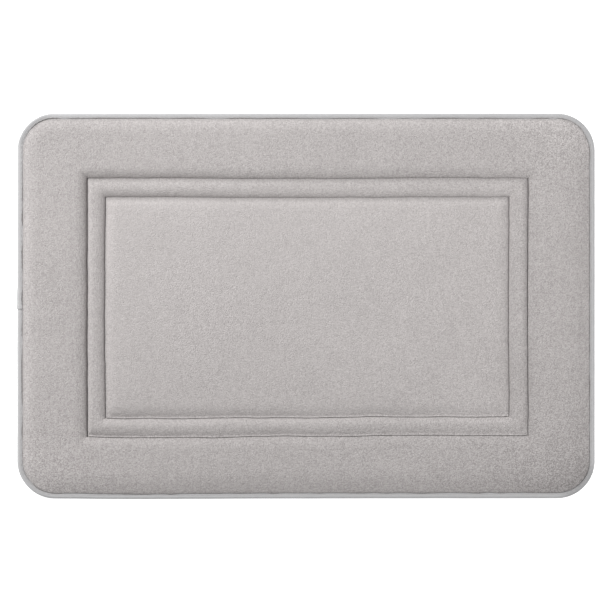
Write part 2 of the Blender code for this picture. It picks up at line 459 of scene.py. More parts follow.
def quilted_height(x, y, setback=0.0, depth=0.0, pinched=None):
    """Height of the quilting's surface, or of a layer at a depth under it, set back from the crease walls."""
    lips, pillows = rises(x, y, setback)
    by_edge = -outside(OUTLINE, x, y, CORNER_RADIUS) - EDGE_WALL - setback < edge_reach(x, y)
    foot = np.where(by_edge, EDGE_LIP_LEVEL, lip_level(x, y))
    rise = LIP_RISE * (1 - FLATTENED_EDGE * by_edge * faces_front_right(x, y))
    crown = CROWN - LOFT_ROOM + loft(x, y)
    height = foot - depth + rise * lips + (crown - foot - rise) * pillows
    return height if pinched is None else np.where(pillows > 0, height, pinched)


# ---------------------------------------------------------------- loft of the filling

def knots(places, step):
    """Positions along one axis that hold every seam's place, about a step apart."""
    spans = [np.linspace(a, b, max(round((b - a) / step), 3) + 1)[:-1] for a, b in zip(places, places[1:])]
    return np.concatenate(spans + [[places[-1]]])


def on_seam(seam, x, y):
    """True for the points that lie on a seam's rectangle."""
    near = 1e-6
    dx, dy = np.abs(np.abs(x - seam.x) - seam.half_x), np.abs(np.abs(y - seam.y) - seam.half_y)
    level_x, level_y = np.abs(x - seam.x) < seam.half_x + near, np.abs(y - seam.y) < seam.half_y + near
    return ((dx < near) & level_y) | ((dy < near) & level_x)


def puffed_cover():
    """A cloth simulation of the cover, held at its seams and its edge while the filling pushes it up."""
    edge = OUTLINE._replace(half_x=OUTLINE.half_x - EDGE_WALL, half_y=OUTLINE.half_y - EDGE_WALL)
    seams = (edge, OUTER, INNER)
    xs = knots([s.x - s.half_x for s in seams] + [s.x + s.half_x for s in seams[::-1]], COVER_STEP)
    ys = knots([s.y - s.half_y for s in seams] + [s.y + s.half_y for s in seams[::-1]], COVER_STEP)
    x, y = np.meshgrid(xs, ys)
    points = np.column_stack((x.ravel(), y.ravel(), 0 * x.ravel()))
    mesh = bpy.data.meshes.new("cover")
    mesh.from_pydata(points.tolist(), [], net_quads(len(ys), len(xs)).tolist())
    cover = bpy.data.objects.new("cover", mesh)
    bpy.context.scene.collection.objects.link(cover)
    sewn = cover.vertex_groups.new(name="sewn")
    held = on_seam(edge, x, y) | on_seam(OUTER, x, y) | on_seam(INNER, x, y)
    sewn.add(np.flatnonzero(held.ravel()).tolist(), 1.0, "REPLACE")

    cloth = cover.modifiers.new("cloth", "CLOTH")
    settings = cloth.settings
    settings.vertex_group_mass = "sewn"
    settings.use_pressure = True
    settings.uniform_pressure_force = COVER_PRESSURE
    settings.effector_weights.gravity = 0
    settings.tension_stiffness = settings.compression_stiffness = COVER_STRETCH_STIFFNESS
    settings.bending_stiffness = COVER_BEND_STIFFNESS
    cloth.collision_settings.use_collision = False
    scene = bpy.context.scene
    for frame_number in range(1, COVER_FRAMES + 1):
        scene.frame_set(frame_number)
    settled = cover.evaluated_get(bpy.context.evaluated_depsgraph_get())
    place = np.zeros(len(points) * 3)
    settled.data.vertices.foreach_get("co", place)
    scene.frame_set(1)
    bpy.data.objects.remove(cover)
    puff = LOFT_CAP * np.tanh(np.maximum(place.reshape(len(ys), len(xs), 3)[:, :, 2], 0) / LOFT_CAP)
    return xs, ys, puff


def loft(x, y):
    """How far the filling lifts the cover here, between its seams."""
    if COVER is None:
        return np.zeros_like(np.asarray(x, dtype=float))
    xs, ys, puff = COVER
    x, y = np.clip(x, xs[0], xs[-1]), np.clip(y, ys[0], ys[-1])
    i = np.clip(np.searchsorted(xs, x) - 1, 0, len(xs) - 2)
    j = np.clip(np.searchsorted(ys, y) - 1, 0, len(ys) - 2)
    u, v = (x - xs[i]) / (xs[i + 1] - xs[i]), (y - ys[j]) / (ys[j + 1] - ys[j])
    near = puff[j, i] * (1 - u) + puff[j, i + 1] * u
    far = puff[j + 1, i] * (1 - u) + puff[j + 1, i + 1] * u
    return near * (1 - v) + far * v


# ---------------------------------------------------------------- nets of quads

def graded(length, fine, coarse, growth):
    """Fractions from 0 to 1 along a length, close together at both ends."""
    steps, total = [], 0.0
    while total < length / 2:
        steps.append(min(fine * growth ** len(steps), coarse))
        total += steps[-1]
    half = np.concatenate(([0.0], np.cumsum(steps))) / (2 * total)
    return np.concatenate((half, 1 - half[-2::-1]))


def side_run(half, corner, fractions):
    """Positions along one side and out of it, from the middle of one corner to that of the next."""
    arc = corner * math.pi / 4
    straight = 2 * (half - corner)
    place = fractions * (straight + 2 * arc)
    along = place - arc - straight / 2
    out = np.zeros_like(place)
    if corner > 0:
        first, last = place < arc, place > arc + straight
        turn = np.where(first, (place - arc) / corner, (place - arc - straight) / corner)
        bent = first | last
        along = np.where(bent, np.sign(along) * straight / 2 + corner * np.sin(turn), along)
        out = np.where(bent, corner * (np.cos(turn) - 1), 0.0)
    return along, out


def ring(seam, grow, corner, fractions):
    """Points round a rounded rectangle, anticlockwise from its corner at low X and low Y."""
    half_x, half_y = seam.half_x + grow, seam.half_y + grow
    fx, fy = (f[:-1] for f in fractions)
    along, out = side_run(half_x, corner, fx)
    front = np.column_stack((along, -half_y - out))
    back = np.column_stack((-along, half_y + out))
    along, out = side_run(half_y, corner, fy)
    right = np.column_stack((half_x + out, along))
    left = np.column_stack((-half_x - out, -along))
    return np.concatenate((front, right, back, left)) + (seam.x, seam.y)


def net_quads(rows, columns, wrap_rows=False, wrap_columns=False):
    """Quads over a net of points that is numbered row by row."""
    row = np.arange(rows if wrap_rows else rows - 1)[:, None]
    column = np.arange(columns if wrap_columns else columns - 1)[None, :]
    next_row, next_column = (row + 1) % rows, (column + 1) % columns
    corners = (
        row * columns + column,
        row * columns + next_column,
        next_row * columns + next_column,
        next_row * columns + column,
    )
    return np.stack(corners, axis=-1).reshape(-1, 4)


def make_piece(name, points, faces, material):
    """A smooth-shaded piece in the scene, from its points, faces and material."""
    mesh = bpy.data.meshes.new(name)
    mesh.from_pydata(np.asarray(points).tolist(), [], faces)
    mesh.materials.append(material)
    mesh.validate()
    mesh.shade_smooth()
    piece = bpy.data.objects.new(name, mesh)
    bpy.context.scene.collection.objects.link(piece)
    return piece


# ---------------------------------------------------------------- quilted layers

def laid_on(plan, height):
    """A ring laid on a surface that gives its height by place."""
    return np.column_stack((plan, height(plan[:, 0], plan[:, 1])))


def rows_between(first, last, fractions, height):
    """Rings from one to another on a surface, without the first."""
    return [laid_on(first * (1 - f) + last * f, height) for f in fractions[1:]]


def level_row(plan, height):
    """A ring at one height, or at a height for each of its points."""
    return np.column_stack((plan, np.zeros(len(plan)) + height))


def crease_rows(crease, fractions):
    """The way down one lip's wall, past the stitches in the hollow under the lips, and up the other."""
    middle = ring(crease.seam, 0.0, 0.0, fractions)
    varies = SHUT_VARIES * lumps(middle[:, :1], middle[:, 1:], SHUT_LENGTH, seed=51)
    shut = np.clip(SHUT + varies, 0, SHUT_MOST)
    inner = ring(grown(crease.seam, Sides(*(-gap for gap in crease.gape))), 0.0, 0.0, fractions)
    outer = ring(crease.outer_lip, 0.0, 0.0, fractions)
    inner, outer = (lip_ring * (1 - shut) + middle * shut for lip_ring in (inner, outer))
    hollow_in = ring(crease.seam, -HOLLOW_HALF, 0.0, fractions)
    hollow_out = ring(crease.seam, HOLLOW_HALF, 0.0, fractions)
    lip_line = ring(crease.inner_lip, 0.0, 0.0, fractions)
    shoulder = quilted_height(lip_line[:, 0], lip_line[:, 1])
    far_lip = lip_level(outer[:, 0], outer[:, 1])
    roof = np.minimum(CREASE + HOLLOW_TOP, np.minimum(shoulder, far_lip) - CLOTH_GAP)
    bead = [(lip_line * share + inner * (1 - share), shoulder + BEAD_RISE) for share in (0.75, 0.25)]
    down = [(inner, shoulder), (inner, roof), (hollow_in, CREASE + HOLLOW_SIDE), (hollow_in, CREASE)]
    up = [(hollow_out, CREASE), (hollow_out, CREASE + HOLLOW_SIDE), (outer, roof), (outer, far_lip)]
    return [level_row(plan, height) for plan, height in bead + down + up]


def even_rows(first, last, count, height):
    """This many rings from one to another, evenly spaced."""
    return rows_between(first, last, np.linspace(0, 1, count + 1), height)


def layer_rings(cut_inset, fractions):
    """The rings that every layer passes, from the middle field's seam out to the layer's cut edge."""
    return (
        ring(INNER, 0.0, 0.0, fractions),
        ring(OUTER, 0.0, 0.0, fractions),
        ring(OUTLINE, -EDGE_WALL, CORNER_RADIUS - EDGE_WALL, fractions),
        ring(OUTLINE, -cut_inset, CORNER_RADIUS - cut_inset, fractions),
    )


def plain_rows(cut_inset, step, fine, fractions, height):
    """Rows of a hidden surface, from the middle field's seam out to the cut edge."""
    inner, outer, wall, cut = layer_rings(cut_inset, fractions)
    rows = rows_between(inner, outer, graded(STRIP, fine, step, STEP_GROWTH), height)
    rows += rows_between(outer, wall, graded(OUTLINE.half_y - OUTER.half_y, fine, step, STEP_GROWTH), height)
    return rows + even_rows(wall, cut, 2, height)


def field_net(rectangle, fractions, height):
    """The net of points over a rectangle of the middle field."""
    fx, fy = fractions
    x, y = np.meshgrid(
        rectangle.x + rectangle.half_x * (2 * fx - 1), rectangle.y + rectangle.half_y * (2 * fy - 1)
    )
    x, y = x.ravel(), y.ravel()
    return np.column_stack((x, y, height(x, y)))


def edge_order(fractions):
    """The field net's edge points, anticlockwise from its corner at low X and low Y."""
    columns, rows = len(fractions[0]), len(fractions[1])
    index = np.arange(rows * columns).reshape(rows, columns)
    return np.concatenate((index[0, :-1], index[:-1, -1], index[-1, :0:-1], index[:0:-1, 0]))


def under_rows(cut_inset, fractions, height):
    """The underside's rows, from the cut edge in to the middle."""
    inner = ring(INNER, 0.0, 0.0, fractions)
    middle = (INNER.x, INNER.y)
    shrunk = [(inner - middle) * size + middle for size in (0.96, 0.88, 0.7, 0.5, 0.3, 0.1)]
    rows = plain_rows(cut_inset, UNDER_STEP, UNDER_FINE_STEP, fractions, height)[::-1]
    return rows + [laid_on(plan, height) for plan in [inner] + shrunk]


def quilted_layer(name, material, fractions, field, rows):
    """A closed layer: a net over the middle field, with rows of points round it to the middle underneath."""
    round_count = len(rows[0])
    ring_rows = [edge_order(fractions)]
    ring_rows += [len(field) + k * round_count + np.arange(round_count) for k in range(len(rows))]
    faces = net_quads(len(fractions[1]), len(fractions[0])).tolist()
    for near, far in zip(ring_rows, ring_rows[1:]):
        faces += np.column_stack((near, far, np.roll(far, -1), np.roll(near, -1))).tolist()
    faces.append(ring_rows[-1].tolist()[::-1])
    return make_piece(name, wander(np.concatenate([field] + rows)), faces, material)


def field_fractions(step):
    """Fractions along both sides of the middle field, closer together toward its corners."""
    return tuple(graded(2 * half, CORNER_STEP, step, STEP_GROWTH) for half in (INNER.half_x, INNER.half_y))


def build_pile_face(material):
    """The velour face: one closed cloth that dips into both creases and ends under the tape."""
    def top(x, y):
        unevenness = uneven(x, y, NAP) + uneven(x, y, SWELL)
        return quilted_height(x, y) + unevenness * rises(x, y, 0.0)[1]

    def underside(x, y):
        return quilted_height(x, y, FACE_ON_WALLS, FACE_THICKNESS, CREASE - FACE_PINCHED)

    fractions = field_fractions(PILE_STEP)
    rim = INNER_CREASE.inner_lip._replace(
        half_x=INNER_CREASE.inner_lip.half_x - RIM, half_y=INNER_CREASE.inner_lip.half_y - RIM
    )
    wall = ring(OUTLINE, -EDGE_WALL, CORNER_RADIUS - EDGE_WALL, fractions)
    cut = ring(OUTLINE, -FOLD_DEPTH, CORNER_RADIUS - FOLD_DEPTH, fractions)
    lips = [
        ring(rectangle, 0.0, 0.0, fractions)
        for crease in (INNER_CREASE, OUTER_CREASE)
        for rectangle in (crease.inner_lip, crease.outer_lip)
    ]
    across_rim = graded(2 * RIM, LIP_STEP, PILE_STEP, 2.0)
    across_rim = 1 - across_rim[across_rim <= 0.5][::-1] * 2
    across_strip = graded(STRIP, LIP_STEP, PILE_STEP, 2.0)
    across_border = graded(OUTLINE.half_y - OUTER.half_y - EDGE_WALL, LIP_STEP, PILE_STEP, 2.0)
    flange = CREASE + EDGE_LIFT

    rows = rows_between(ring(rim, 0.0, 0.0, fractions), lips[0], across_rim, top)
    rows += crease_rows(INNER_CREASE, fractions)
    rows += rows_between(lips[1], lips[2], across_strip, top)
    rows += crease_rows(OUTER_CREASE, fractions)
    rows += rows_between(lips[3], wall, across_border, top)
    tape_end = ring(OUTLINE, -TAPE_ON_TOP - CLOTH_GAP / 3, CORNER_RADIUS - TAPE_ON_TOP, fractions)
    under_tape = ring(OUTLINE, -TAPE_ON_TOP + CLOTH_GAP, CORNER_RADIUS - TAPE_ON_TOP, fractions)
    bulge = EDGE_BULGE * faces_front_right(wall[:, 0], wall[:, 1])
    rows += [level_row(plan, flange + bulge) for plan in (wall, tape_end)] + [level_row(under_tape, flange)]
    rows += even_rows(under_tape, cut, 2, lambda x, y: np.full(len(x), flange))
    rows += under_rows(FOLD_DEPTH, fractions, underside)
    field = field_net(rim, fractions, top)
    face = quilted_layer("velour_face", material, fractions, field, rows)
    plan = np.concatenate([field] + rows)
    add_pile_tone_and_shade(face, plan[:, 0], plan[:, 1])
    return face


def seam_shade(seam, amounts, x, y):
    """How much painted shade darkens the pile here, beside a seam."""
    def fading(side, distance):
        return getattr(amounts, side) * np.clip(1 - distance / getattr(SEAM_SHADE_REACH, side), 0, 1)

    past, share = outside(seam, x, y), beside(seam, x, y)
    at_left = fading("left", x - seam.x + seam.half_x)
    at_back = fading("back", seam.y + seam.half_y - y)
    at_right = fading("right", past) * share * (x > seam.x)
    at_front = fading("front", past) * (1 - share) * (y < seam.y)
    return np.where(past < 0, np.maximum(at_left, at_back), at_right + at_front)


def add_tone(piece, name, values):
    """A value at each vertex, which the piece's material reads."""
    layer = piece.data.attributes.new(name, "FLOAT", "POINT")
    layer.data.foreach_set("value", values)


def add_pile_tone_and_shade(face, x, y):
    """The pile's tone: a shade darker round the border, darker at two corners and lighter at the other two,
    painted lighter toward the back as painted light, and darkened by painted shade beside the seams and the
    tape.
    """
    past_field = smooth_step(BORDER_TONE_AT_SEAM + outside(INNER, x, y) / BORDER_TONE_REACH)
    toward_right, toward_back = (x - OUTLINE.x) / OUTLINE.half_x, (y - OUTLINE.y) / OUTLINE.half_y
    corner = toward_right ** CORNER_POWER * toward_back ** CORNER_POWER
    darker_corner = corner * (toward_right * toward_back < 0)
    lighter_corner = corner - darker_corner
    # Painted light: the field and the border lighter toward the back, where the light comes from
    field = FIELD_TONE + FIELD_TO_RIGHT * toward_right + FIELD_LIT_TO_BACK * toward_back
    corners = LIGHTER_CORNERS * lighter_corner - DARKER_CORNERS * darker_corner
    border = BORDER_TONE + BORDER_LIT_TO_BACK * toward_back + corners
    strip = STRIP_TONE * smooth_step(1 - np.abs(outside(OUTER, x, y) + 0.5 * STRIP) / STRIP)
    tone = NAP_TONE + strip + field * (1 - past_field) + border * past_field + uneven(x, y, MOTTLE)
    # Painted shade beside both seams
    tone *= 1 - seam_shade(OUTER, SEAM_SHADE_OUTER, x, y)
    tone *= 1 - seam_shade(INNER, SEAM_SHADE_INNER, x, y)
    # Painted shade along the gap beside the tape, at the mat's left and back
    past_edge_shade = np.abs(-outside(OUTLINE, x, y, CORNER_RADIUS) - EDGE_WALL - EDGE_SHADE_INSET)
    at_edge = np.clip(1 - past_edge_shade / EDGE_SHADE_HALF, 0, 1)
    tone *= 1 - EDGE_SHADE * (1 - faces_front_right(x, y)) * at_edge
    # The grain's contrast rises toward the front right: painted shade of the pile's clumps, where the light
    # grazes
    to_front_right = toward_right - toward_back
    in_field = FIELD_GRAIN + FIELD_GRAIN_GRAZED * to_front_right
    in_border = BORDER_GRAIN + BORDER_GRAIN_GRAZED * to_front_right + corner * (CORNER_GRAIN + to_front_right)
    add_tone(face, "ToneAndShade", tone)
    add_tone(face, "Grain", (1 - past_field) * in_field + past_field * in_border)


def build_foam(material):
    """The foam pad: it follows the face's underside and lies flat on the backing."""
    gap = 2 * CLOTH_GAP
    pinched = CREASE - FACE_PINCHED - CLOTH_GAP

    def top(x, y):
        return quilted_height(x, y, FACE_ON_WALLS + gap, FACE_THICKNESS + gap, pinched)

    def underside(x, y):
        return FOAM_LOW + EDGE_LIFT * near_edge(x, y)

    fractions = field_fractions(FOAM_STEP)
    rows = plain_rows(FOAM_INSET, FOAM_STEP, FOAM_FINE_STEP, fractions, top)
    rows += under_rows(FOAM_INSET, fractions, underside)
    return quilted_layer("foam_pad", material, fractions, field_net(INNER, fractions, top), rows)


def near_edge(x, y):
    """1 over the tape's underside leg, falling to 0 where the grip dots begin."""
    inset = -outside(OUTLINE, x, y, CORNER_RADIUS)
    return np.clip((GRIP_FIELD_INSET - inset) / (GRIP_FIELD_INSET - TAPE_UNDERNEATH), 0, 1)


def build_backing(material):
    """The backing cloth, flat on its grip dots and lifted a little over the tape's leg underneath."""
    def top(x, y):
        return BACKING_TOP - EDGE_LIFT + EDGE_LIFT * near_edge(x, y)

    def underside(x, y):
        return GRIP_TOP + EDGE_LIFT * near_edge(x, y)

    fractions = field_fractions(BACKING_STEP)
    rows = plain_rows(FOLD_DEPTH, BACKING_STEP, BACKING_FINE_STEP, fractions, top)
    rows += under_rows(FOLD_DEPTH, fractions, underside)
    return quilted_layer("backing_cloth", material, fractions, field_net(INNER, fractions, top), rows)


# ---------------------------------------------------------------- tape

def along_outline(distance):
    """Points on the outline and inward directions, anticlockwise from the tape's start on the left."""
    half_x, half_y = OUTLINE.half_x - CORNER_RADIUS, OUTLINE.half_y - CORNER_RADIUS
    arc, start = CORNER_RADIUS * math.pi / 2, TAPE_START_Y
    runs = (start + half_y, arc, 2 * half_x, arc, 2 * half_y, arc, 2 * half_x, arc, half_y - start)
    marks = np.concatenate(([0.0], np.cumsum(runs)))
    place = np.mod(distance, marks[-1])
    quarter_turns = np.interp(place, marks, np.repeat(np.arange(5), 2))
    heading = (quarter_turns - 1) * math.pi / 2
    corner_x = np.interp(place, marks, (-1, -1, -1, 1, 1, 1, 1, -1, -1, -1)) * half_x
    start_share = start / half_y
    corner_y = np.interp(place, marks, (start_share, -1, -1, -1, -1, 1, 1, 1, 1, start_share)) * half_y
    out = np.column_stack((np.sin(heading), -np.cos(heading)))
    points = np.column_stack((corner_x, corner_y)) + CORNER_RADIUS * out + (OUTLINE.x, OUTLINE.y)
    return points, -out


def outline_length():
    """The length once round the outline."""
    straight = 4 * (OUTLINE.half_x + OUTLINE.half_y) - 8 * CORNER_RADIUS
    return straight + 2 * math.pi * CORNER_RADIUS


def tape_section(count_leg=6, count_fold=15):
    """The tape's middle line across its width: insets and heights, from the leg below to the one above."""
    half = TAPE_THICKNESS / 2
    low, high = TAPE_LOW + half, TAPE_TOP - half
    middle, rise = (low + high) / 2, (high - low) / 2
    angle = np.linspace(-math.pi / 2, math.pi / 2, count_fold)
    fold_inset = FOLD_DEPTH - (FOLD_DEPTH - half) * np.cos(angle) ** FOLD_SQUARENESS
    fold_height = middle + rise * np.sign(angle) * np.abs(np.sin(angle)) ** FOLD_SQUARENESS
    below = np.linspace(TAPE_UNDERNEATH, FOLD_DEPTH, count_leg)[:-1]
    above = np.linspace(FOLD_DEPTH, TAPE_ON_TOP, count_leg)[1:]
    inset = np.concatenate((below, fold_inset, above))
    height = np.concatenate((np.full(len(below), low), fold_height, np.full(len(above), high)))
    return inset, height


def build_tape(material):
    """One length of tape round the mat, its folded end lapped over its start."""
    length = outline_length()
    stations = np.arange(0, length + TAPE_LAP, BINDING_STITCH / 4)
    stations[-1] = length + TAPE_LAP
    points, inward = along_outline(stations)
    inset, height = tape_section()
    slope = np.gradient(np.column_stack((inset, height)), axis=0)
    slope /= np.linalg.norm(slope, axis=1)[:, None]
    out_inset, out_height = -slope[:, 1], slope[:, 0]
    flip = np.sign(out_height[-1])
    out_inset, out_height = out_inset * flip, out_height * flip

    left = length + TAPE_LAP - stations
    above = smooth_step(np.linspace(-0.6, 2.0, len(inset)))[None, :]
    pressed = PRESSED * smooth_step((TAPE_LAP + PRESSED_PAST_LAP - stations) / PRESSED_SLOPE)
    lapped = (TAPE_THICKNESS - LAP_CLOSER) * smooth_step((stations - length + LAP_STARTS) / LAP_SLOPE)
    lift = (lapped - pressed)[:, None] * above
    hem = HEM_RISE * smooth_step((HEM_WIDTH - left) / HEM_SLOPE) * np.sqrt(np.clip(left / HEM_RISE, 0, 1))
    pulled = np.exp(-((inset - BINDING_INSET) / DIMPLE_HALF) ** 2)
    hole = 0.5 + 0.5 * np.cos(2 * math.pi * stations / BINDING_STITCH)
    dimple = (DIMPLE + DIMPLE_AT_HOLES * hole)[:, None] * pulled[None, :]
    wave = TAPE_WAVE * lumps(stations, stations * 0, TAPE_WAVE_LENGTH, seed=31)[:, None]
    wave_at_edges = wave * np.linspace(-1, 1, len(inset)) ** 3
    outer_level = lift + TAPE_THICKNESS / 2 + hem[:, None] * above - dimple
    inner_level = lift - TAPE_THICKNESS / 2 - dimple
    rows = []
    for level in (outer_level, inner_level):
        in_from_edge = inset[None, :] + level * out_inset[None, :] + wave_at_edges
        rows.append(np.dstack((
            points[:, None, 0] + in_from_edge * inward[:, None, 0],
            points[:, None, 1] + in_from_edge * inward[:, None, 1],
            height[None, :] + level * out_height[None, :],
        )))
    section = np.concatenate((rows[0], rows[1][:, ::-1]), axis=1)
    count, across = section.shape[:2]
    faces = net_quads(count, across, wrap_columns=True).tolist()
    faces.append(list(range(across)))
    faces.append(list(range((count - 1) * across, count * across))[::-1])
    plan = section.reshape(-1, 3)
    painted_gather_shade = gather_shade_tone(plan[:, 0], plan[:, 1])
    piece = make_piece("edge_tape", wander(plan), faces, material)
    add_weave_map(piece, stations, across)
    add_tone(piece, "GatherShade", painted_gather_shade)
    return piece


def gather_shade_tone(x, y):
    """The tape's tone: darker where it gathers round a corner, most at two of them, as painted shade of its
    gathers.
    """
    dx = np.maximum(np.abs(x - OUTLINE.x) - OUTLINE.half_x + CORNER_RADIUS, 0) / CORNER_RADIUS
    dy = np.maximum(np.abs(y - OUTLINE.y) - OUTLINE.half_y + CORNER_RADIUS, 0) / CORNER_RADIUS
    tighter = (x - OUTLINE.x) * (y - OUTLINE.y) < 0
    return 1 - (GATHER_SHADE + GATHER_SHADE_TIGHTER * tighter) * smooth_step(3 * dx * dy)


def add_weave_map(piece, stations, across):
    """Lengths along and across the tape, in metres, for its weave to follow."""
    out_and_back = np.linspace(0, 1, across // 2), np.linspace(1, 0, across - across // 2)
    width = TAPE_WIDTH * np.concatenate(out_and_back)
    corners = np.zeros(len(piece.data.loops), dtype=int)
    piece.data.loops.foreach_get("vertex_index", corners)
    places = np.column_stack((stations[corners // across], width[corners % across]))
    layer = piece.data.uv_layers.new(name="Weave")
    layer.data.foreach_set("uv", places.ravel())


# ---------------------------------------------------------------- sewing thread

def thread_tube(name, path, radius, material):
    """A closed loop of two-ply thread along a path."""
    ahead = np.roll(path, -1, axis=0) - np.roll(path, 1, axis=0)
    ahead /= np.linalg.norm(ahead, axis=1)[:, None]
    side = np.cross(ahead, (0.0, 0.0, 1.0))
    side /= np.linalg.norm(side, axis=1)[:, None]
    lift = np.cross(side, ahead)
    steps = np.linalg.norm(np.roll(path, -1, axis=0) - path, axis=1)
    run = np.concatenate(([0.0], np.cumsum(steps)[:-1]))
    turn = 2 * math.pi * np.arange(THREAD_SIDES) / THREAD_SIDES
    twist = 2 * math.pi * run / THREAD_TWIST
    waisted = THREAD_WAIST * np.cos(2 * (turn[None, :] - twist[:, None]))
    plies = radius * (1 - THREAD_WAIST + waisted)
    section = (
        path[:, None, :]
        + (plies * np.cos(turn))[:, :, None] * side[:, None, :]
        + (plies * np.sin(turn))[:, :, None] * lift[:, None, :]
    )
    faces = net_quads(len(path), THREAD_SIDES, wrap_rows=True, wrap_columns=True)[:, ::-1].tolist()
    return make_piece(name, section.reshape(-1, 3), faces, material)


def stitched(length, stitch):
    """A whole number of stitches along a length: their count, points in stitches, and the thread's lift."""
    count = round(length / stitch)
    place = np.arange(count * POINTS_PER_STITCH) / POINTS_PER_STITCH
    return count, place, np.abs(np.sin(math.pi * place)) ** THREAD_BOW


def channel_thread(name, seam, up, material):
    """One thread of a channel's lockstitch, diving into the cloth at every hole."""
    (count_x, place_x, lift_x), (count_y, place_y, lift_y) = (
        stitched(2 * half, CHANNEL_STITCH) for half in (seam.half_x, seam.half_y)
    )
    plan = ring(seam, 0.0, 0.0, (np.append(place_x / count_x, 1.0), np.append(place_y / count_y, 1.0)))
    lift = np.concatenate((lift_x, lift_y, lift_x, lift_y))
    path = np.column_stack((plan, seam.z - up * THREAD_DIVE * (1 - lift)))
    return thread_tube(name, wander(path), seam.radius * CHANNEL_THREAD_FULLNESS, material)


def binding_thread(name, seam, up, material):
    """One thread of the binding's lockstitch, lying in the dimple that it pulls into the tape."""
    length = outline_length()
    count, place, lift = stitched(length, BINDING_STITCH)
    points, inward = along_outline(place / count * length)
    past_lap = np.minimum(place, count - place) * BINDING_STITCH
    up_the_lap = smooth_step((LAP_STARTS - past_lap) / LAP_SLOPE)
    raised = np.where(place > count / 2, up_the_lap, past_lap < TAPE_LAP)
    sunk = up * (BINDING_THREAD_SUNK + THREAD_DIVE * (1 - lift))
    height = seam.z - sunk + (up > 0) * BINDING_THREAD_OVER_LAP * raised
    path = np.column_stack((points + BINDING_INSET * inward, height))
    return thread_tube(name, wander(path), seam.radius * BINDING_THREAD_FULLNESS, material)


# ---------------------------------------------------------------- grip dots

def grip_places():
    """Staggered places for the grip dots, clear of the tape and of the sewn lanes."""
    row_pitch = GRIP_PITCH * math.sqrt(3) / 2
    rows = np.arange(-int(OUTLINE.half_y / row_pitch), int(OUTLINE.half_y / row_pitch) + 1)
    columns = np.arange(-int(OUTLINE.half_x / GRIP_PITCH), int(OUTLINE.half_x / GRIP_PITCH) + 1)
    column, row = np.meshgrid(columns, rows)
    x = (column + 0.5 * (row % 2)).ravel() * GRIP_PITCH
    y = row.ravel() * row_pitch
    clear = outside(OUTLINE, x, y, CORNER_RADIUS) < -GRIP_FIELD_INSET - GRIP_RADIUS
    for seam in (OUTER, INNER):
        clear &= np.abs(outside(seam, x, y)) > SEAM_LANE_HALF + GRIP_RADIUS
    return x[clear], y[clear]


def build_grip_dots(material):
    """Low domes of soft grip compound under the backing."""
    x, y = grip_places()
    turn = 2 * math.pi * np.arange(GRIP_SIDES) / GRIP_SIDES
    circle = GRIP_RADIUS * np.column_stack((np.cos(turn), np.sin(turn)))
    profile = ((1.0, GRIP_TOP), (0.97, 0.6 * GRIP_TOP), (0.80, 0.2 * GRIP_TOP), (0.45, 0.0))
    dot = np.concatenate([level_row(share * circle, height) for share, height in profile])
    points = (dot[None, :, :] + np.column_stack((x, y, 0 * x))[:, None, :]).reshape(-1, 3)
    quads = net_quads(len(profile), GRIP_SIDES, wrap_columns=True)[:, ::-1]
    faces = []
    for k in range(len(x)):
        first = k * len(dot)
        faces += (quads + first).tolist()
        faces.append(list(range(first, first + GRIP_SIDES)))
        faces.append(list(range(first + len(dot) - GRIP_SIDES, first + len(dot)))[::-1])
    return make_piece("grip_dots", points, faces, material)


# ---------------------------------------------------------------- finishes

def add_node(tree, kind, settings=(), values=()):
    """A shader node with its settings and the values of its named inputs."""
    made = tree.nodes.new("ShaderNode" + kind)
    for name, value in dict(settings).items():
        setattr(made, name, value)
    for name, value in dict(values).items():
        made.inputs[name].default_value = value
    return made


def maths(tree, operation, *values):
    """The result of a Math node on values or links."""
    made = add_node(tree, "Math", {"operation": operation})
    for socket, value in zip(made.inputs, values):
        if isinstance(value, (int, float)):
            socket.default_value = value
        else:
            tree.links.new(value, socket)
    return made.outputs[0]


def new_group(name, inputs, outputs):
    """An empty node group with named inputs and outputs."""
    group = bpy.data.node_groups.new(name, "ShaderNodeTree")
    for label, kind, value in inputs:
        socket = group.interface.new_socket(label, in_out="INPUT", socket_type="NodeSocket" + kind)
        if value is not None:
            socket.default_value = value
    for label, kind in outputs:
        group.interface.new_socket(label, in_out="OUTPUT", socket_type="NodeSocket" + kind)
    return group, group.nodes.new("NodeGroupInput"), group.nodes.new("NodeGroupOutput")


def swing(tree, value, amount):
    """A 0 to 1 value's distance from its middle, times an amount."""
    return maths(tree, "MULTIPLY", maths(tree, "SUBTRACT", value, 0.5), amount)


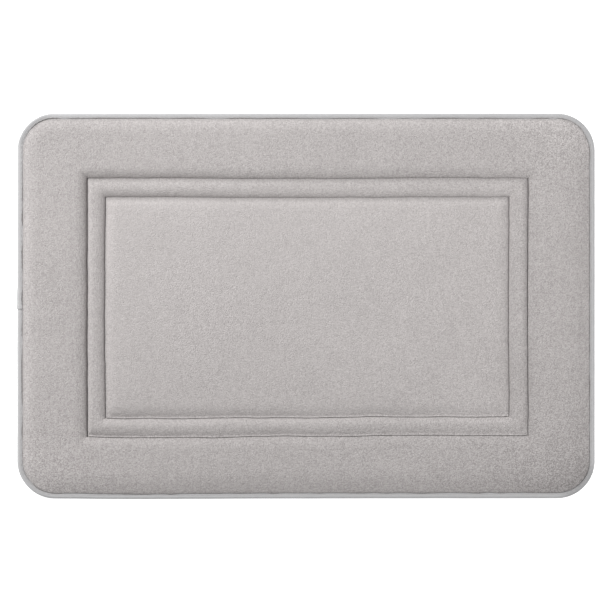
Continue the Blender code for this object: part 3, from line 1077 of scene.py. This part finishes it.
def fibre_grain_group():
    """Soft grain of fibres: a shade from 0 to 1 and a height, both from clumps with streaks and patches."""
    inputs = (("Place", "Vector", None), ("Grain Size", "Float", 0.002), ("Tufts", "Float", 0.0),
              ("Streaks", "Float", 0.3), ("Patches", "Float", 0.3))
    outputs = (("Shade", "Float"), ("Height", "Float"))
    tree, given, result = new_group("Fibre grain", inputs, outputs)
    link = tree.links.new
    scale = maths(tree, "DIVIDE", 1.0, given.outputs["Grain Size"])
    clumps = add_node(tree, "TexNoise", values={"Detail": 2.0, "Roughness": 0.6, "Distortion": 0.6})
    tufts = add_node(tree, "TexVoronoi", {"feature": "SMOOTH_F1"}, {"Smoothness": 0.5, "Randomness": 1.0})
    for texture in (clumps, tufts):
        link(given.outputs["Place"], texture.inputs["Vector"])
        link(scale, texture.inputs["Scale"])
    stretch = add_node(tree, "Mapping", {"vector_type": "POINT"}, {"Scale": STREAK_SCALE})
    link(given.outputs["Place"], stretch.inputs["Vector"])
    streak = add_node(tree, "TexNoise", values={"Scale": 1.0, "Detail": 2.0, "Roughness": 0.6})
    link(stretch.outputs[0], streak.inputs["Vector"])
    patch = add_node(tree, "TexNoise", values={"Scale": PATCH_SCALE, "Detail": 3.0, "Roughness": 0.55})
    link(given.outputs["Place"], patch.inputs["Vector"])
    streaks = swing(tree, streak.outputs[0], given.outputs["Streaks"])
    patches = swing(tree, patch.outputs[0], given.outputs["Patches"])
    tone = add_node(tree, "SeparateXYZ")
    link(tufts.outputs["Color"], tone.inputs[0])
    tuft = swing(tree, tone.outputs[0], given.outputs["Tufts"])
    tufted = maths(tree, "ADD", clumps.outputs[0], tuft)
    link(maths(tree, "ADD", tufted, maths(tree, "ADD", streaks, patches)), result.inputs["Shade"])
    between_tufts = maths(tree, "MULTIPLY", tufts.outputs["Distance"], 0.8)
    link(maths(tree, "SUBTRACT", clumps.outputs[0], between_tufts), result.inputs["Height"])
    return tree


def weave_group():
    """Ribs of yarn crossing each other, as a height."""
    inputs = (("Place", "Vector", None), ("Yarn", "Float", 0.0006), ("Slant", "Float", 0.0))
    tree, given, result = new_group("Yarn weave", inputs, (("Height", "Float"),))
    link = tree.links.new
    split = add_node(tree, "SeparateXYZ")
    link(given.outputs["Place"], split.inputs[0])
    pitch = maths(tree, "DIVIDE", 2 * math.pi, given.outputs["Yarn"])
    slanted = maths(tree, "MULTIPLY", split.outputs[1], given.outputs["Slant"])
    along = maths(tree, "MULTIPLY", maths(tree, "ADD", split.outputs[0], slanted), pitch)
    across = maths(tree, "MULTIPLY", split.outputs[1], pitch)
    crossing = maths(tree, "MULTIPLY", maths(tree, "SINE", along), maths(tree, "SINE", across))
    link(maths(tree, "MULTIPLY_ADD", crossing, 0.5, 0.5), result.inputs["Height"])
    return tree


def use_group(tree, group, place, values):
    """A node group placed in a material, following a place and with its own values."""
    made = tree.nodes.new("ShaderNodeGroup")
    made.node_tree = group
    tree.links.new(place, made.inputs["Place"])
    for name, value in values.items():
        made.inputs[name].default_value = value
    return made


def grained(tree, grain, size, **amounts):
    """The fibre grain on a piece, at a grain size and with its amounts."""
    values = {"Grain Size": size, "Streaks": 0.0, **amounts}
    return use_group(tree, grain, object_place(tree), values)


def new_material(name, **constants):
    """A material with its shader's constant values set, its node tree and its shader."""
    material = bpy.data.materials.new(name)
    material.use_nodes = True
    tree = material.node_tree
    shader = tree.nodes["Principled BSDF"]
    for label, value in constants.items():
        shader.inputs[label.replace("_", " ")].default_value = value
    return material, tree, shader


def blended(tree, first, second):
    """The sum of two values, each given with its share."""
    return maths(tree, "ADD", *(maths(tree, "MULTIPLY", value, share) for value, share in (first, second)))


def shade_between(tree, factor, stops, socket):
    """Colours a socket by a factor, between two or three stops of (place, colour)."""
    ramp = tree.nodes.new("ShaderNodeValToRGB")
    while len(ramp.color_ramp.elements) < len(stops):
        ramp.color_ramp.elements.new(0.5)
    for element, (place, colour) in zip(ramp.color_ramp.elements, stops):
        element.position = place
        element.color = (*colour, 1.0)
    tree.links.new(factor, ramp.inputs[0])
    tree.links.new(ramp.outputs[0], socket)


def shade_with_tone(tree, factor, stops, tone_name, socket):
    """As shade_between, times the tone that the piece keeps at its vertices."""
    tone = add_node(tree, "Attribute", {"attribute_name": tone_name})
    laid = add_node(tree, "Mix", {"data_type": "RGBA", "blend_type": "MULTIPLY"}, {"Factor": 1.0})
    shade_between(tree, factor, stops, laid.inputs["A"])
    tree.links.new(tone.outputs["Color"], laid.inputs["B"])
    tree.links.new(laid.outputs["Result"], socket)


def bump(tree, shader, height, strength, depth):
    """Fine relief on a shader from a height."""
    made = add_node(tree, "Bump", values={"Strength": strength, "Distance": depth})
    tree.links.new(height, made.inputs["Height"])
    tree.links.new(made.outputs[0], shader.inputs["Normal"])


def object_place(tree):
    """Places on the piece itself, in metres."""
    return tree.nodes.new("ShaderNodeTexCoord").outputs["Object"]


def velour_material(grain):
    """Matt pile with a faint sheen and tufted grain."""
    material, tree, shader = new_material(
        "velour", Roughness=0.95, Sheen_Weight=0.25, Sheen_Roughness=0.45,
        Sheen_Tint=(1.0, 0.985, 0.975, 1.0), Specular_IOR_Level=0.15,
    )
    fibres = grained(tree, grain, 0.0010, Tufts=0.42, Streaks=0.15, Patches=0.12)
    # The grain's strength at the vertices, raised toward the front right as painted shade of the clumps
    liveliness = add_node(tree, "Attribute", {"attribute_name": "Grain"})
    shade = maths(tree, "ADD", swing(tree, fibres.outputs["Shade"], liveliness.outputs["Fac"]), 0.5)
    # The tone at the vertices carries painted light toward the back and painted shade by the seams and the
    # tape
    shade_with_tone(tree, shade, VELOUR_SHADES, "ToneAndShade", shader.inputs["Base Color"])
    bump(tree, shader, fibres.outputs["Height"], 0.9, 0.0007)
    return material


def tape_material(weave, grain):
    """Woven binding tape, a little smoother than the pile."""
    material, tree, shader = new_material(
        "binding_tape", Roughness=0.72, Sheen_Weight=0.15, Sheen_Roughness=0.4, Specular_IOR_Level=0.3,
    )
    along_tape = tree.nodes.new("ShaderNodeUVMap")
    along_tape.uv_map = "Weave"
    ribs = use_group(tree, weave, along_tape.outputs[0], {"Yarn": 0.0009, "Slant": 0.5})
    fibres = grained(tree, grain, 0.004, Patches=0.3)
    factor = blended(tree, (ribs.outputs["Height"], 0.3), (fibres.outputs["Shade"], 0.6))
    # The tape's tone carries the painted shade of its gathers at the corners
    shade_with_tone(tree, factor, TAPE_SHADES, "GatherShade", shader.inputs["Base Color"])
    bump(tree, shader, ribs.outputs["Height"], 0.5, 0.00015)
    return material


def thread_material(grain):
    """Spun sewing thread."""
    material, tree, shader = new_material("sewing_thread", Roughness=0.5, Specular_IOR_Level=0.4,
                                          Sheen_Weight=0.1)
    fibres = grained(tree, grain, 0.0005, Patches=0.2)
    shade_between(tree, fibres.outputs["Shade"], THREAD_SHADES, shader.inputs["Base Color"])
    bump(tree, shader, fibres.outputs["Height"], 0.3, 0.00005)
    return material


def foam_material(grain):
    """Cream foam with fine open cells."""
    material, tree, shader = new_material("memory_foam", Roughness=0.9, Specular_IOR_Level=0.2)
    fibres = grained(tree, grain, 0.002, Patches=0.2)
    cells = add_node(tree, "TexVoronoi", values={"Scale": FOAM_CELL_SCALE})
    tree.links.new(object_place(tree), cells.inputs["Vector"])
    shade_between(tree, fibres.outputs["Shade"], FOAM_SHADES, shader.inputs["Base Color"])
    bump(tree, shader, cells.outputs["Distance"], 0.6, 0.0004)
    return material


def backing_material(weave, grain):
    """Plain woven backing cloth."""
    material, tree, shader = new_material("backing_cloth", Roughness=0.8, Specular_IOR_Level=0.25)
    ribs = use_group(tree, weave, object_place(tree), {"Yarn": 0.0012, "Slant": 0.0})
    fibres = grained(tree, grain, 0.003, Streaks=0.1, Patches=0.4)
    factor = blended(tree, (ribs.outputs["Height"], 0.4), (fibres.outputs["Shade"], 0.5))
    shade_between(tree, factor, BACKING_SHADES, shader.inputs["Base Color"])
    bump(tree, shader, ribs.outputs["Height"], 0.6, 0.0002)
    return material


def grip_material(grain):
    """Soft grip compound, slightly glossy."""
    material, tree, shader = new_material("grip_compound", Roughness=0.42, Specular_IOR_Level=0.5)
    fibres = grained(tree, grain, 0.006, Patches=0.4)
    shade_between(tree, fibres.outputs["Shade"], GRIP_SHADES, shader.inputs["Base Color"])
    bump(tree, shader, fibres.outputs["Height"], 0.15, 0.0003)
    return material


# ---------------------------------------------------------------- studio

def build_floor():
    """A plain pale floor, bright enough to lose its own shadows."""
    material = new_material(
        "pale_floor", Roughness=0.9, Specular_IOR_Level=0.1, Base_Color=PALE_FLOOR,
        Emission_Color=WHITE, Emission_Strength=FLOOR_GLOW,
    )[0]
    corners = [(x * FLOOR_REACH, y * FLOOR_REACH, 0.0) for x, y in ((-1, -1), (1, -1), (1, 1), (-1, 1))]
    make_piece("floor", corners, [(0, 1, 2, 3)], material)


def add_soft_light(name, target, place, size, power):
    """A round soft light that looks at a target."""
    lamp = bpy.data.lights.new(name, "AREA")
    lamp.shape = "DISK"
    lamp.size = size
    lamp.energy = power
    light = bpy.data.objects.new(name, lamp)
    bpy.context.scene.collection.objects.link(light)
    light.location = place
    direction = target - light.location
    light.rotation_euler = direction.to_track_quat("-Z", "Y").to_euler()


def light_studio():
    """A bright room, a large window behind the mat's left corner and a faint card at its right."""
    world = bpy.data.worlds.new("studio")
    world.use_nodes = True
    background = world.node_tree.nodes["Background"]
    background.inputs["Color"].default_value = WHITE
    background.inputs["Strength"].default_value = SKY_STRENGTH
    bpy.context.scene.world = world
    middle = (cad_box[0] + cad_box[1]) / 2
    add_soft_light("window", middle, **KEY_LIGHT)
    add_soft_light("card", middle, **CARD_LIGHT)
    bpy.context.scene.view_settings.view_transform = "Standard"


def place_camera():
    """Straight above, with a long lens."""
    lens = bpy.data.cameras.new("camera")
    lens.lens = LENS
    lens.sensor_width = SENSOR_WIDTH
    camera = bpy.data.objects.new("camera", lens)
    bpy.context.scene.collection.objects.link(camera)
    camera.location = (0.0, 0.0, CAMERA_HEIGHT)
    bpy.context.scene.camera = camera


# ---------------------------------------------------------------- the mat

def put_in_place(piece, node):
    """Puts a piece on the mat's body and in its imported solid's place."""
    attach(piece, "root")
    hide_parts(node)


def build_mat():
    """Every piece of the mat."""
    grain, weave = fibre_grain_group(), weave_group()
    thread = thread_material(grain)
    face = build_pile_face(velour_material(grain))
    foam = build_foam(foam_material(grain))
    backing = build_backing(backing_material(weave, grain))
    dots = build_grip_dots(grip_material(grain))
    tape = build_tape(tape_material(weave, grain))
    put_in_place(face, "pile_face")
    put_in_place(foam, "memory_foam")
    put_in_place(backing, "non_slip_backing")
    put_in_place(dots, "non_slip_backing")
    put_in_place(tape, "edge_binding")
    threads = (
        (channel_thread, "outer_channel_needle", OUTER, 1),
        (channel_thread, "outer_channel_bobbin", OUTER_UNDER, -1),
        (channel_thread, "inner_channel_needle", INNER, 1),
        (channel_thread, "inner_channel_bobbin", INNER_UNDER, -1),
        (binding_thread, "binding_needle", BINDING, 1),
        (binding_thread, "binding_bobbin", BINDING_UNDER, -1),
    )
    for sew, name, seam, up in threads:
        put_in_place(sew(name + "_stitches", seam, up, thread), name + "_thread")


COVER = puffed_cover()
build_mat()
build_floor()
light_studio()
place_camera()
